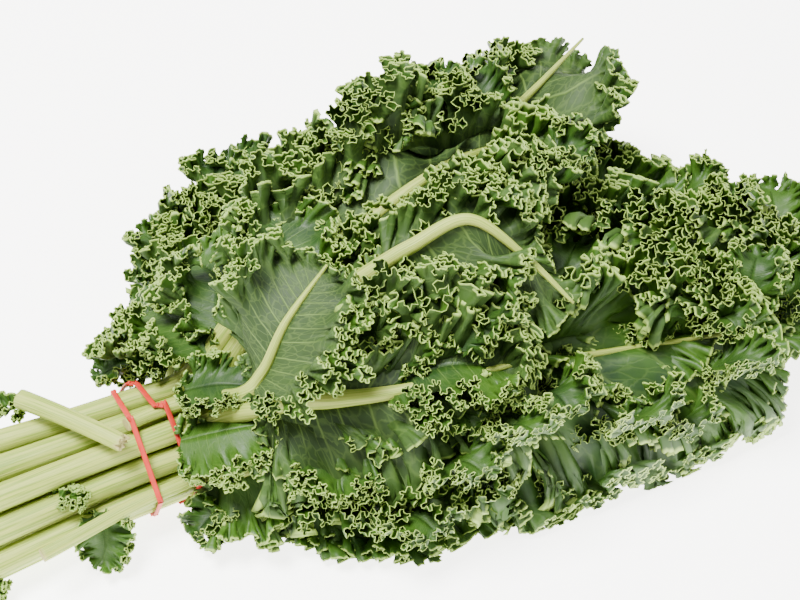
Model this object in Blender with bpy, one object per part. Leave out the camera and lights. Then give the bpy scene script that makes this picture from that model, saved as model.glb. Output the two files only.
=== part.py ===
"""A bunch of curly kale lying on its side, tied round its stalks with a rubber band.

Metres, +Z up. +X runs along the bunch from the cut ends of the stalks to the leaf tips,
and the origin is at the middle of the bunch's footprint, on the surface that it lies on.

Every leaf is one solid: a round stalk that flattens into a thin blade with a thick rib.
The blades lie in layers of one mound, each at its own share of the mound's height, so no
two of them meet. Routes and places are in millimetres from the band's middle, at the
height of the surface.
"""
import math

import bmesh
import bpy
import numpy as np

MM = 0.001
BAND_PLACE = (-0.127, -0.0118, 0.0)

# The mound: x, then its right edge, left edge and crest height, in millimetres.
MOUND_X = (-120.0, 0.0, 35.0, 80.0, 130.0, 190.0, 250.0, 305.0, 350.0, 400.0)
MOUND_RIGHT = (-50.0, -48.0, -60.0, -79.0, -99.0, -106.0, -110.0, -114.0, -112.0, -100.0)
MOUND_LEFT = (50.0, 62.0, 106.0, 142.0, 153.0, 148.0, 142.0, 146.0, 112.0, 80.0)
MOUND_CREST = (50.0, 52.0, 74.0, 98.0, 117.0, 122.0, 112.0, 98.0, 80.0, 56.0)
MOUND_FULLNESS = 2.6
EDGE_SHARE = 0.30

# One wave runs through all the layers, so that neighbours keep their distance.
WAVE_HEIGHT = 7.0
WAVE_ALONG = 62.0
WAVE_ACROSS = 54.0

STALK_FLARE = 1.10
FLARE_FROM = 100.0
FLARE_OVER = 60.0
CUT_SPREAD = 1.28
CUT_LIFT = 1.08
CUT_ROW_0 = 7.0
LEVEL_TO = 24.0
FOOT = 3
BLADE_THICK = 1.8
MARGIN_THICK = 1.2
RIB_AT_TIP = 1.0
TIP_WIDTH = 3.0
STALK_STATIONS = 12
BLADE_STATIONS = 13
HALF_SECTION = (-1.0, -0.45, 0.0, 0.45, 1.0)

BAND_THICK = 2.2
BAND_GAP = 0.4
BAND_STRETCH = 1.02
BAND_POINTS = 72

# Stalk rows at the band, from the surface up, in millimetres.
ROW_0 = 9.4
ROW_1 = 20.4
ROW_2 = 31.4
ROW_3 = 42.4

# Name, place at the band (y, z), stalk radius, length behind the band, blade half-width,
# share of the mound's height, and the plan route from the blade's foot to the leaf's tip.
LEAVES = (
    ("leaf_floor_right", (-19.5, ROW_0), 6.1, 98, 40, 0.0, ((50, -31), (125, -58), (205, -74))),
    ("leaf_floor_left", (19.5, ROW_0), 5.6, 88, 40, 0.0, ((48, 38), (100, 84), (150, 113))),
    ("leaf_floor_middle", (-6.5, ROW_0), 5.9, 92, 46, 0.17, ((58, -5), (170, -8), (290, -32))),
    ("leaf_back_low", (26.0, ROW_1), 5.3, 80, 28, 0.17, ((34, 50), (64, 84), (90, 110))),
    ("leaf_low_right", (-26.0, ROW_1), 5.7, 96, 34, 0.27, ((50, -46), (150, -62), (262, -84))),
    ("leaf_low_left", (6.5, ROW_0), 5.5, 90, 44, 0.29, ((58, 20), (145, 68), (232, 113))),
    ("leaf_middle", (0.0, ROW_1), 5.7, 86, 40, 0.40, ((62, 4), (190, 17), (318, 41))),
    ("leaf_side_right", (-13.0, ROW_1), 5.5, 91, 22, 0.46, ((60, -30), (100, -58), (140, -74))),
    ("leaf_far_right", (-6.5, ROW_2), 5.8, 88, 42, 0.53, ((66, -12), (210, -33), (352, -48))),
    ("leaf_side_left", (13.0, ROW_1), 5.5, 84, 38, 0.52, ((54, 28), (104, 84), (152, 121))),
    ("leaf_upper_right", (-19.5, ROW_2), 5.9, 94, 36, 0.65, ((66, -27), (172, -63), (292, -85))),
    ("leaf_upper_left", (19.5, ROW_2), 5.6, 82, 34, 0.66, ((44, 42), (88, 78), (126, 110))),
    ("leaf_crown", (6.5, ROW_2), 5.8, 88, 40, 0.74, ((66, 18), (180, 50), (244, 82), (304, 120))),
    ("leaf_near_right", (-13.0, ROW_3), 5.7, 92, 26, 0.94, ((50, -37), (100, -61), (160, -80))),
    ("leaf_top_left", (13.0, ROW_3), 5.6, 84, 36, 0.88, ((62, 13), (122, 20), (170, 29), (236, 50))),
    ("leaf_arched", (0.0, ROW_3), 5.8, 90, 32, 1.0,
     ((68, -8), (91, -19), (125, -27), (152, -31), (170, -50), (184, -72))),
)

# How far some leaves rise clear of their layer, at each point of the plan route, and how
# steeply their blades then hang from the rib to the layer.
LIFTS = {
    "leaf_crown": (0, 0, 8, 30),
    "leaf_arched": (0, 2, 11, 17, 13, 2),
}
DROOP = 0.55

# Young leaves that lie over the others near the band: name, place at the band, stalk
# radius, length behind the band, blade half-width, side tilt and the route in x, y and z.
YOUNG_LEAVES = (
    ("leaf_young_top", (-6.5, 51.2), 3.2, 8, 22, 0.10, ((46, -32, 76), (66, -25, 102), (92, -12, 115))),
    ("leaf_young_side", (-33.8, 29.4), 3.2, 62, 10, 1.00, ((31, -41, 33), (43, -47, 38), (56, -53, 42))),
)

CUT_STALK_FROM = (-47.0, 24.0, 56.4)
CUT_STALK_TO = (-14.0, -21.0, 56.4)
CUT_STALK_RADIUS = 4.4

LEAF_GREEN = (0.09, 0.17, 0.045)
STALK_GREEN = (0.50, 0.58, 0.22)
BAND_RED = (0.66, 0.06, 0.03)


def clear_scene():
    """Remove the objects that Blender starts with."""
    for item in list(bpy.data.objects):
        bpy.data.objects.remove(item, do_unlink=True)


def make_material(name, colour, roughness):
    """A Principled material with one colour and no metal."""
    material = bpy.data.materials.new(name)
    material.use_nodes = True
    shader = material.node_tree.nodes["Principled BSDF"]
    shader.inputs["Base Color"].default_value = (*colour, 1.0)
    shader.inputs["Roughness"].default_value = roughness
    shader.inputs["Metallic"].default_value = 0.0
    return material


def smooth_through(knots, values, where):
    """Cubic curve through the values at the knots, with slopes from the neighbours."""
    knots = np.asarray(knots, float)
    values = np.asarray(values, float).reshape(len(knots), -1)
    slopes = np.gradient(values, knots, axis=0)
    where = np.atleast_1d(where)
    i = np.clip(np.searchsorted(knots, where) - 1, 0, len(knots) - 2)
    step = (knots[i + 1] - knots[i])[:, None]
    t = np.clip((where - knots[i])[:, None] / step, 0.0, 1.0)
    start = (2 * t**3 - 3 * t**2 + 1) * values[i] + (t**3 - 2 * t**2 + t) * step * slopes[i]
    end = (3 * t**2 - 2 * t**3) * values[i + 1] + (t**3 - t**2) * step * slopes[i + 1]
    return start + end


def ease(value):
    """0 below 0, 1 above 1, and a smooth rise between."""
    value = np.clip(value, 0.0, 1.0)
    return value * value * (3.0 - 2.0 * value)


def mound_height(x, y):
    """Height of the whole mound: full over the middle, and lower towards either edge."""
    right = smooth_through(MOUND_X, MOUND_RIGHT, x)[:, 0]
    left = smooth_through(MOUND_X, MOUND_LEFT, x)[:, 0]
    crest = smooth_through(MOUND_X, MOUND_CREST, x)[:, 0]
    across = np.clip(np.abs((2 * y - left - right) / (left - right)), 0.0, 1.0)
    height = crest * (EDGE_SHARE + (1 - EDGE_SHARE) * np.sqrt(1 - across**MOUND_FULLNESS))
    wave = np.sin(2 * math.pi * x / WAVE_ALONG) * np.cos(2 * math.pi * y / WAVE_ACROSS)
    return height + WAVE_HEIGHT * wave * ease((x - 50.0) / 60.0)


def stalk_points(place, behind):
    """Three route points of a stalk: its cut end, the band, and where it starts to fan out."""
    y, z = place
    cut_z = CUT_ROW_0 + (z - ROW_0) * CUT_LIFT
    return [(-behind, y * CUT_SPREAD, cut_z), (0.0, y, z), (LEVEL_TO, y, z)]


def leaf_points(leaf):
    """A layered leaf's whole route in x, y and z, with the blade's foot as its fourth point."""
    name, place, radius, behind, _half_width, share, plan = leaf
    plan = np.asarray(plan, float)
    heights = share * mound_height(plan[:, 0], plan[:, 1]) + LIFTS.get(name, 0.0)
    heights = np.maximum(heights, radius * np.linspace(1.0, 0.3, len(plan)))
    return stalk_points(place, behind) + [(x, y, z) for (x, y), z in zip(plan, heights)]


def young_points(leaf):
    """A young leaf's whole route, with the blade's foot as its fourth point."""
    _name, place, _radius, behind, _half_width, _tilt, route = leaf
    return stalk_points(place, behind) + list(route)


def route_of(points):
    """The route's length at each of its points, for reading a smooth curve through them."""
    steps = np.linalg.norm(np.diff(np.asarray(points, float), axis=0), axis=1)
    return np.concatenate([[0.0], np.cumsum(steps)])


def stations_along(knots, foot):
    """Lengths at which a leaf is cut into sections, closer together on the blade."""
    stalk = np.linspace(0.0, knots[foot], STALK_STATIONS, endpoint=False)
    blade = knots[foot] + (knots[-1] - knots[foot]) * np.linspace(0.0, 1.0, BLADE_STATIONS)
    return np.concatenate([stalk, blade])


def sections(points, foot, radius, half_width, surface):
    """Sections of a leaf, each a ring: upper side left to right, then lower side back.

    On the stalk a ring is round. On the blade it follows surface(x, y, z, offset), which
    gives the height of the blade, and is thick only along the rib.
    """
    knots = route_of(points)
    where = stations_along(knots, foot)
    line = smooth_through(knots, points, where)
    ahead = np.gradient(line, where, axis=0)
    ahead[:, 2] = 0.0
    ahead /= np.linalg.norm(ahead, axis=1)[:, None]
    side = np.stack([-ahead[:, 1], ahead[:, 0]], axis=1)
    blade = (where - knots[foot]) / (knots[-1] - knots[foot])
    on_blade = np.clip(blade, 0.0, 1.0)
    flat = ease((blade + 0.02) / 0.10)
    width = half_width * np.sin(math.pi * on_blade**0.72) ** 0.62 + TIP_WIDTH
    width = np.maximum(width, radius * (1 - on_blade))
    rib = np.where(blade < 0, radius, RIB_AT_TIP + (radius - RIB_AT_TIP) * (1 - on_blade) ** 1.3)
    rib *= 1 + (STALK_FLARE - 1) * ease((knots[foot] - where - FLARE_FROM) / FLARE_OVER)
    count = len(HALF_SECTION)
    rings = np.empty((len(where), 2 * count, 3))
    for k, share in enumerate(HALF_SECTION):
        angle = math.pi * (k + 0.5) / count
        offset = share * width
        at = line[:, :2] + side * offset[:, None]
        height = surface(at[:, 0], at[:, 1], line[:, 2], offset)
        half = np.full_like(width, (BLADE_THICK + (MARGIN_THICK - BLADE_THICK) * abs(share)) / 2)
        half = np.where(share == 0.0, np.maximum(rib, half), half)
        middle = np.maximum(height, half)
        for row, up in ((k, 1.0), (2 * count - 1 - k, -1.0)):
            round_at = line[:, :2] - side * (rib * math.cos(angle))[:, None]
            round_z = line[:, 2] + up * rib * math.sin(angle)
            rings[:, row, :2] = round_at + (at - round_at) * flat[:, None]
            rings[:, row, 2] = round_z + (middle + up * half - round_z) * flat
    return rings


def loft(name, rings, material, collection):
    """One closed solid through the rings, with a flat face over each end."""
    mesh = bpy.data.meshes.new(name)
    shape = bmesh.new()
    rows = [[shape.verts.new(point * MM) for point in ring] for ring in rings]
    for near, far in zip(rows, rows[1:]):
        for k in range(len(near)):
            after = (k + 1) % len(near)
            shape.faces.new((near[k], near[after], far[after], far[k]))
    shape.faces.new(rows[0][::-1])
    shape.faces.new(rows[-1])
    bmesh.ops.triangulate(shape, faces=shape.faces[:])
    bmesh.ops.recalc_face_normals(shape, faces=shape.faces[:])
    shape.to_mesh(mesh)
    shape.free()
    mesh.shade_smooth()
    mesh.materials.append(material)
    return place_object(name, mesh, collection)


def place_object(name, data, collection):
    """Link a mesh or curve as an object that stands at the band's place."""
    item = bpy.data.objects.new(name, data)
    item.location = BAND_PLACE
    collection.objects.link(item)
    return item


def layered_leaf(leaf, material, collection):
    """A leaf whose blade lies at its own share of the mound's height."""
    name, _place, radius, _behind, half_width, share, _plan = leaf
    lifted = name in LIFTS

    def surface(x, y, z, offset):
        layer = share * mound_height(x, y)
        return np.maximum(layer, z - DROOP * np.abs(offset)) if lifted else layer

    rings = sections(leaf_points(leaf), FOOT, radius, half_width, surface)
    return loft(name, rings, material, collection)


def young_leaf(leaf, material, collection):
    """A small leaf with its own heights along the route and a blade tilted to one side."""
    name, _place, radius, _behind, half_width, tilt, _route = leaf

    def surface(_x, _y, z, offset):
        return z + tilt * offset

    rings = sections(young_points(leaf), FOOT, radius, half_width, surface)
    return loft(name, rings, material, collection)


def stalk_places(along):
    """Each stalk's radius, and its y and z at the given x, as arrays."""
    routes = [(leaf[2], leaf_points(leaf)) for leaf in LEAVES]
    routes += [(leaf[2], young_points(leaf)) for leaf in YOUNG_LEAVES]
    for radius, points in routes:
        knots = route_of(points)
        line = smooth_through(knots, points, np.linspace(0.0, knots[FOOT], 120))
        place = [np.interp(along, line[:, 0], line[:, axis]) for axis in (1, 2)]
        yield radius, np.stack(place, axis=1)


def band_route():
    """The rubber band's middle line: two turns round the stalks that cross on the far side.

    At each point it touches the outermost stalk in that direction, and the first turn
    stands off by its own thickness where the two cross.
    """
    turns = np.linspace(0.0, 4 * math.pi, BAND_POINTS, endpoint=False)
    along = 1.0 + 4.0 * np.cos(turns) + 10.0 * np.cos(turns / 2)
    lift = (BAND_THICK + BAND_GAP) * np.maximum(0.0, np.sin(turns / 2)) ** 8
    out = np.stack([-np.cos(turns), np.sin(turns)], axis=1)
    furthest = np.full(BAND_POINTS, -np.inf)
    middle = np.zeros((BAND_POINTS, 2))
    for radius, place in stalk_places(along):
        clear = radius * BAND_STRETCH + BAND_THICK / 2 + BAND_GAP + lift
        reach = np.sum(place * out, axis=1) + clear
        outer = reach > furthest
        furthest = np.where(outer, reach, furthest)
        middle = np.where(outer[:, None], place + out * clear[:, None], middle)
    return np.column_stack([along, middle])


def rubber_band(material, collection):
    """A closed loop of round section along the band's route, just clear of the surface."""
    curve = bpy.data.curves.new("rubber_band", "CURVE")
    curve.dimensions = "3D"
    curve.bevel_depth = BAND_THICK / 2 * MM
    curve.bevel_resolution = 2
    spline = curve.splines.new("POLY")
    spline.points.add(BAND_POINTS - 1)
    spline.use_cyclic_u = True
    for point, (x, y, z) in zip(spline.points, band_route()):
        point.co = (x * MM, y * MM, z * MM, 1.0)
    curve.materials.append(material)
    return place_object("rubber_band", curve, collection)


def cut_stalk(material, collection):
    """The short cut piece of stalk that lies across the top of the others."""
    start = np.array(CUT_STALK_FROM)
    end = np.array(CUT_STALK_TO)
    curve = bpy.data.curves.new("cut_stalk", "CURVE")
    curve.dimensions = "3D"
    curve.bevel_depth = CUT_STALK_RADIUS * MM
    curve.bevel_resolution = 3
    curve.use_fill_caps = True
    spline = curve.splines.new("POLY")
    spline.points.add(3)
    for point, share in zip(spline.points, np.linspace(0.0, 1.0, 4)):
        point.co = (*((start + (end - start) * share) * MM), 1.0)
    curve.materials.append(material)
    return place_object("cut_stalk", curve, collection)


def main():
    """Build the bunch."""
    clear_scene()
    collection = bpy.data.collections.new("kale_bunch")
    bpy.context.scene.collection.children.link(collection)
    for leaf in LEAVES:
        green = make_material(leaf[0], LEAF_GREEN, 0.5)
        layered_leaf(leaf, green, collection)
    for leaf in YOUNG_LEAVES:
        green = make_material(leaf[0], LEAF_GREEN, 0.5)
        young_leaf(leaf, green, collection)
    rubber_band(make_material("rubber_band", BAND_RED, 0.45), collection)
    cut_stalk(make_material("cut_stalk", STALK_GREEN, 0.55), collection)


if __name__ == "__main__":
    main()
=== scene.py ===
"""The looks of a bunch of curly kale: frilled blades, ridged stalks, a rubber band and the stage.

Lengths inside the shape functions are in millimetres from the middle of the band, at the
height of the surface that the bunch lies on. They become metres in the row's frame when a
mesh is made.
"""
import math
from collections import namedtuple

import bpy
import numpy as np

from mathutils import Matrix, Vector


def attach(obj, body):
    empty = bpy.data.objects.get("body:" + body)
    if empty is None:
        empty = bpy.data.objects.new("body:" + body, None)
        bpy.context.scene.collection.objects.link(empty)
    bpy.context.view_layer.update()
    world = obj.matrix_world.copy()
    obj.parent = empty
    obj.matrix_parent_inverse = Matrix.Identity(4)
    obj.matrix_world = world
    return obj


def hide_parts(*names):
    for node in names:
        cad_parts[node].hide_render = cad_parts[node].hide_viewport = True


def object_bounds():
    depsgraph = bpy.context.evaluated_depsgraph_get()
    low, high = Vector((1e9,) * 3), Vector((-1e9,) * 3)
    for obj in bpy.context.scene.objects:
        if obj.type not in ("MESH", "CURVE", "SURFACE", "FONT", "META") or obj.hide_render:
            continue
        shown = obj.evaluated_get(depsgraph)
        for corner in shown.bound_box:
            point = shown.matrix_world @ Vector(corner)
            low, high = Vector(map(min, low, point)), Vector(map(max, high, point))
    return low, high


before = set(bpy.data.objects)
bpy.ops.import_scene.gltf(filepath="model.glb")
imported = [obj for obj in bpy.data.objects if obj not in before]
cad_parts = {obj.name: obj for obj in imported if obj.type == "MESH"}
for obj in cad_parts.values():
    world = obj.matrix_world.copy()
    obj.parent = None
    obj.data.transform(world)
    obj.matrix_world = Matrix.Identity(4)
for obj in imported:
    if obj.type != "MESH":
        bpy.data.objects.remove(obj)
cad_low, cad_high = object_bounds()

bl_info = {
    "name": "Kale Bunch",
    "version": (1, 0, 0),
    "blender": (4, 5, 0),
    "location": "3D View > Sidebar > Kale",
    "description": "Makes a tied bunch of curly kale with frilled leaves and ridged stalks",
    "category": "Add Mesh",
}

MM = 0.001
TURN = 2 * math.pi
BAND_PLACE = (-0.127, -0.0118, 0.0)

# The mound that the leaves make together: x, its right and left edges and its crest.
MOUND_X = (-120.0, 0.0, 35.0, 80.0, 130.0, 190.0, 250.0, 305.0, 350.0, 400.0)
MOUND_RIGHT = (-50.0, -48.0, -60.0, -79.0, -99.0, -106.0, -110.0, -114.0, -112.0, -100.0)
MOUND_LEFT = (50.0, 62.0, 106.0, 142.0, 153.0, 148.0, 142.0, 146.0, 112.0, 80.0)
MOUND_CREST = (50.0, 52.0, 74.0, 98.0, 117.0, 122.0, 112.0, 98.0, 80.0, 56.0)
MOUND_FULLNESS = 2.6
EDGE_SHARE = 0.30
WAVE_HEIGHT = 7.0
WAVE_ALONG = 62.0
WAVE_ACROSS = 54.0

STALK_FLARE = 1.10
FLARE_FROM = 100.0
FLARE_OVER = 60.0
CUT_SPREAD = 1.28
CUT_LIFT = 1.08
CUT_ROW_0 = 7.0
LEVEL_TO = 24.0
FOOT = 3
RIB_AT_TIP = 0.7

ROW_0 = 9.4
ROW_1 = 20.4
ROW_2 = 31.4
ROW_3 = 42.4

# Name, place at the band, stalk radius, length behind the band, share of the mound's
# height, and the plan route from the blade's foot to the tip.
LEAVES = (
    ("leaf_floor_right", (-19.5, ROW_0), 6.1, 98, 0.0, ((50, -31), (125, -58), (205, -74))),
    ("leaf_floor_left", (19.5, ROW_0), 5.6, 88, 0.0, ((48, 38), (100, 84), (150, 113))),
    ("leaf_floor_middle", (-6.5, ROW_0), 5.9, 92, 0.17, ((58, -5), (170, -8), (290, -32))),
    ("leaf_back_low", (26.0, ROW_1), 5.3, 80, 0.17, ((34, 50), (64, 84), (90, 110))),
    ("leaf_low_right", (-26.0, ROW_1), 5.7, 96, 0.27, ((50, -46), (150, -62), (262, -84))),
    ("leaf_low_left", (6.5, ROW_0), 5.5, 90, 0.29, ((58, 20), (145, 68), (232, 113))),
    ("leaf_middle", (0.0, ROW_1), 5.7, 86, 0.40, ((62, 4), (190, 17), (318, 41))),
    ("leaf_side_right", (-13.0, ROW_1), 5.5, 91, 0.46, ((60, -30), (100, -58), (140, -74))),
    ("leaf_far_right", (-6.5, ROW_2), 5.8, 88, 0.53, ((66, -12), (210, -33), (352, -48))),
    ("leaf_side_left", (13.0, ROW_1), 5.5, 84, 0.52, ((54, 28), (104, 84), (152, 121))),
    ("leaf_upper_right", (-19.5, ROW_2), 5.9, 94, 0.65, ((66, -27), (172, -63), (292, -85))),
    ("leaf_upper_left", (19.5, ROW_2), 5.6, 82, 0.66, ((44, 42), (88, 78), (126, 110))),
    ("leaf_crown", (6.5, ROW_2), 5.8, 88, 0.74, ((66, 18), (180, 50), (244, 82), (304, 120))),
    ("leaf_near_right", (-13.0, ROW_3), 5.7, 92, 0.94, ((50, -37), (100, -61), (160, -80))),
    ("leaf_top_left", (13.0, ROW_3), 5.6, 84, 0.88, ((62, 13), (122, 20), (170, 29), (236, 50))),
    ("leaf_arched", (0.0, ROW_3), 5.8, 90, 1.0,
     ((68, -8), (91, -19), (125, -27), (152, -31), (170, -50), (184, -72))),
)

# How far some leaves rise clear of their layer, at each point of the plan route.
LIFTS = {
    "leaf_crown": (0, 0, 8, 30),
    "leaf_arched": (0, 2, 11, 17, 13, 2),
}

# Young leaves near the band: name, place at the band, stalk radius, length behind the
# band, and the route in x, y and z.
YOUNG_LEAVES = (
    ("leaf_young_top", (-6.5, 51.2), 3.2, 8, ((46, -32, 76), (66, -25, 102), (92, -12, 115))),
    ("leaf_young_side", (-33.8, 29.4), 3.2, 62, ((31, -41, 33), (43, -47, 38), (56, -53, 42))),
)

# Each leaf's own look: half-width of the blade measured over its curve, how far its margin
# curls up in radians, the roll of its blade, which side is up (1 the upper, -1 the
# underside), its mesh columns, its tone from dark to light, how far it sinks below its
# layer, and its inner ruffs, each with its half-width and its part of the margin.
Look = namedtuple("Look", "half curl roll face columns tone sink ruffs")
ALL_ROUND = (0.03, 0.97)
LEFT_FOOT = (0.03, 0.33)
RIGHT_FOOT = (0.67, 0.97)
LOOKS = {
    "leaf_floor_right": (42, 1.5, 0.0, 1, 1536, 0.35, 0, ()),
    "leaf_floor_left": (50, 1.5, 0.0, 1, 1536, 0.30, 0, ()),
    "leaf_floor_middle": (50, 1.6, 0.0, 1, 1024, 0.40, 0, ()),
    "leaf_back_low": (42, 1.6, 0.0, 1, 1024, 0.30, 0, ()),
    "leaf_low_right": (42, 1.7, 0.0, 1, 2048, 0.45, 0, ((28, ALL_ROUND),)),
    "leaf_low_left": (54, 1.7, 0.0, 1, 1536, 0.25, 0, ()),
    "leaf_middle": (56, 1.7, 0.0, 1, 1536, 0.45, 2, ((38, ALL_ROUND),)),
    "leaf_side_right": (44, 1.7, 0.0, 1, 2048, 0.50, 2, ((30, ALL_ROUND),)),
    "leaf_far_right": (58, 1.7, 0.0, 1, 3072, 0.55, 2,
                       ((30, ALL_ROUND), (46, ALL_ROUND))),
    "leaf_side_left": (54, 1.8, 0.0, 1, 2048, 0.30, 3, ((36, ALL_ROUND),)),
    "leaf_upper_right": (50, 1.8, 0.0, 1, 3072, 0.55, 4,
                         ((24, ALL_ROUND), (38, ALL_ROUND))),
    "leaf_upper_left": (56, 1.8, 0.0, 1, 2560, 0.35, 4,
                        ((28, ALL_ROUND), (42, ALL_ROUND))),
    "leaf_crown": (56, 1.5, 0.0, -1, 3072, 0.45, 3,
                   ((26, LEFT_FOOT), (26, RIGHT_FOOT), (42, LEFT_FOOT), (42, RIGHT_FOOT))),
    "leaf_near_right": (42, 1.6, 0.0, -1, 2560, 0.55, 4,
                        ((32, (0.16, 0.97)), (20, (0.20, 0.80)))),
    "leaf_top_left": (58, 1.8, 0.0, -1, 3072, 0.40, 6,
                      ((44, ALL_ROUND), (30, (0.30, 0.70)))),
    "leaf_arched": (32, 1.4, -0.9, -1, 2560, 0.60, 0, ()),
    "leaf_young_top": (36, 0.9, 0.1, -1, 2560, 0.75, 2, ()),
    "leaf_young_side": (27, 0.7, 0.0, 1, 2048, 0.95, 0, ()),
}

# Leaflets that grow on the stalks: the leaf that each belongs to, its route, half-width,
# roll, curl, the side that is up, and tone.
LEAFLETS = (
    ("leaf_low_right", ((-30, -31, 27), (-33, -39, 17), (-38, -44, 5)), 13, 0.0, 0.5, 1, 0.6),
    ("leaf_low_right", ((-48, -20, 34), (-42, -25, 37), (-35, -30, 36)), 5, 0.2, 0.8, 1, 0.8),
    ("leaf_upper_left", ((-46, 26, 46), (-54, 30, 49), (-62, 34, 48)), 6, 0.2, 0.8, 1, 0.6),
    ("leaf_floor_right", ((-84, -31, 9), (-89, -39, 10), (-93, -45, 6)), 8, 0.0, 0.6, 1, 0.5),
    ("leaf_upper_left", ((16, 35, 32), (4, 42, 36), (-8, 46, 29)), 14, 0.1, 1.2, 1, 0.5),
    ("leaf_floor_right", ((36, -37, 20), (20, -44, 16), (4, -48, 8)), 14, 0.1, 1.0, 1, 0.3),
    ("leaf_near_right", ((22, -4, 56), (34, -12, 62), (50, -22, 64)), 17, 0.1, 0.8, 1, 0.4),
    ("leaf_upper_left", ((30, 22, 52), (18, 40, 50), (12, 60, 34)), 26, 0.1, 1.4, 1, 0.4),
    ("leaf_side_left", ((38, 10, 60), (32, 32, 64), (26, 54, 56)), 28, 0.1, 1.4, 1, 0.5),
    ("leaf_top_left", ((48, 12, 66), (56, 34, 78), (50, 58, 76)), 30, 0.1, 1.5, 1, 0.45),
    ("leaf_top_left", ((60, 4, 74), (84, 22, 94), (92, 48, 98)), 30, 0.1, 1.5, 1, 0.55),
    ("leaf_side_right", ((56, -46, 50), (70, -60, 46), (90, -72, 40)), 24, 0.0, 1.0, 1, 0.5),
    ("leaf_near_right", ((102, -56, 74), (126, -66, 84), (156, -78, 80)), 28, 0.0, 1.2, 1, 0.6),
    ("leaf_young_side", ((12, -23, 46), (32, -33, 54), (54, -42, 58)), 25, -0.25, 0.7, 1, 0.95),
)

# Frills, from the broad folds to the fine ones: wavelength, height, the width of the margin
# that they take up, and how far each fold bulges over its neighbours.
FRILLS = (
    (23.0, 6.6, 23.0, 0.34),
    (9.4, 3.2, 14.0, 0.31),
    (4.0, 1.15, 6.0, 0.25),
)
# Rows of the mesh by their distance from the margin, and every how many columns each uses.
ROWS = (0.0, 0.6, 2.0, 4.4, 7.5, 11.5, 16.5, 24.0)
ROW_STEPS = (1, 1, 2, 2, 4, 4, 8, 8)
INNER_ROWS = 3
UV_BANDS = 8
DENSE = 12000
# How far each leaf's right side, seen from the cut ends, lies down: 0 stands it up like the
# left side, 1 lays it flat and more lets it hang. Then the blade that tilts to one side and
# starts behind the leaf's foot, and the one that doesn't follow the mound.
RIGHT_LIES = {
    "leaf_floor_right": 1.3, "leaf_low_right": 1.3,
    "leaf_side_right": 1.2, "leaf_upper_right": 1.1,
    "leaf_far_right": 0.9,
}
RIGHT_LIES_ELSE = 0.5
TILT = {"leaf_young_side": 0.8}
EARLY = {"leaf_young_side": 20.0}
FREE = ("leaf_arched",)

# How many lobes stand on a leaf's upper side, and the stretch of its length that they take up.
LOBES = {
    "leaf_floor_right": (4, 0.15, 0.95), "leaf_low_right": (6, 0.15, 0.98),
    "leaf_side_right": (3, 0.3, 0.95), "leaf_middle": (2, 0.75, 0.98),
    "leaf_upper_right": (9, 0.18, 0.98), "leaf_far_right": (9, 0.30, 0.98),
    "leaf_upper_left": (4, 0.2, 0.95), "leaf_side_left": (4, 0.3, 0.95),
    "leaf_low_left": (2, 0.7, 0.95), "leaf_crown": (4, 0.25, 0.62),
    "leaf_near_right": (4, 0.40, 0.98), "leaf_top_left": (5, 0.52, 0.98),
}

# Columns of the meshes, and the parts of the margin round which they run.
LOBE_COLUMNS = 640
LEAFLET_COLUMNS = 640
COLUMN_STEP = 64
RUFF_DENSITY = 1750 / 12800
LEAF_ROUND = (0.004, 0.996)
LOBE_ROUND = (0.01, 0.99)
RUFF_CURL = 1.35
RUFF_SINK = 0.8
STALK_SIDES = 24

BAND_THICK = 2.2
BAND_GAP = 0.4
BAND_STRETCH = 1.02
BAND_POINTS = 72
BAND_RINGS = 480
BAND_SIDES = 16
BAND_TWIST = 0.35
BAND_CORNER = 0.45

CUT_STALK_FROM = (-47.0, 24.0, 56.4)
CUT_STALK_TO = (-14.0, -21.0, 56.4)
CUT_STALK_BOW = 1.2
TORN = 5.0

CAMERA_AZIMUTH = -26.0
CAMERA_HEIGHT = 45.0
CAMERA_DISTANCE = 0.80
CAMERA_LENS = 73.0
CAMERA_AIM = (0.0144, 0.0038, 0.045)

# Name, place, width and power of each light.
LIGHTS = (
    ("key", (-0.5, 0.0, 1.5), 0.6, 78.0),
    ("fill", (1.2, -0.9, 1.1), 1.4, 16.0),
    ("back", (0.3, 1.3, 1.2), 1.2, 12.0),
)
WORLD_STRENGTH = 0.42
FLOOR_GLOW = 4.5
CURLED = 30.0
ROOT_SHARE = 0.82
ROOM = 0.010


def smooth_through(knots, values, where):
    """Cubic curve through the values at the knots, with slopes from the neighbours."""
    knots = np.asarray(knots, float)
    values = np.asarray(values, float).reshape(len(knots), -1)
    slopes = np.gradient(values, knots, axis=0)
    where = np.atleast_1d(where)
    i = np.clip(np.searchsorted(knots, where) - 1, 0, len(knots) - 2)
    step = (knots[i + 1] - knots[i])[..., None]
    t = np.clip((where - knots[i])[..., None] / step, 0.0, 1.0)
    start = (2 * t**3 - 3 * t**2 + 1) * values[i] + (t**3 - 2 * t**2 + t) * step * slopes[i]
    end = (3 * t**2 - 2 * t**3) * values[i + 1] + (t**3 - t**2) * step * slopes[i + 1]
    return start + end


def ease(value):
    """0 below 0, 1 above 1, and a smooth rise between."""
    value = np.clip(value, 0.0, 1.0)
    return value * value * (3.0 - 2.0 * value)


def wander(x, seed):
    """A smooth random line between about -1 and 1: sines of unlike lengths added up."""
    rng = np.random.default_rng(seed)
    total = np.zeros_like(x, dtype=float)
    for k in range(5):
        total += np.sin(x * (0.45 + 0.62 * k + 0.4 * rng.random()) + TURN * rng.random())
    return total / 2.6


def unit(vectors):
    """The vectors at length 1."""
    return vectors / np.maximum(np.linalg.norm(vectors, axis=-1, keepdims=True), 1e-9)


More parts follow.
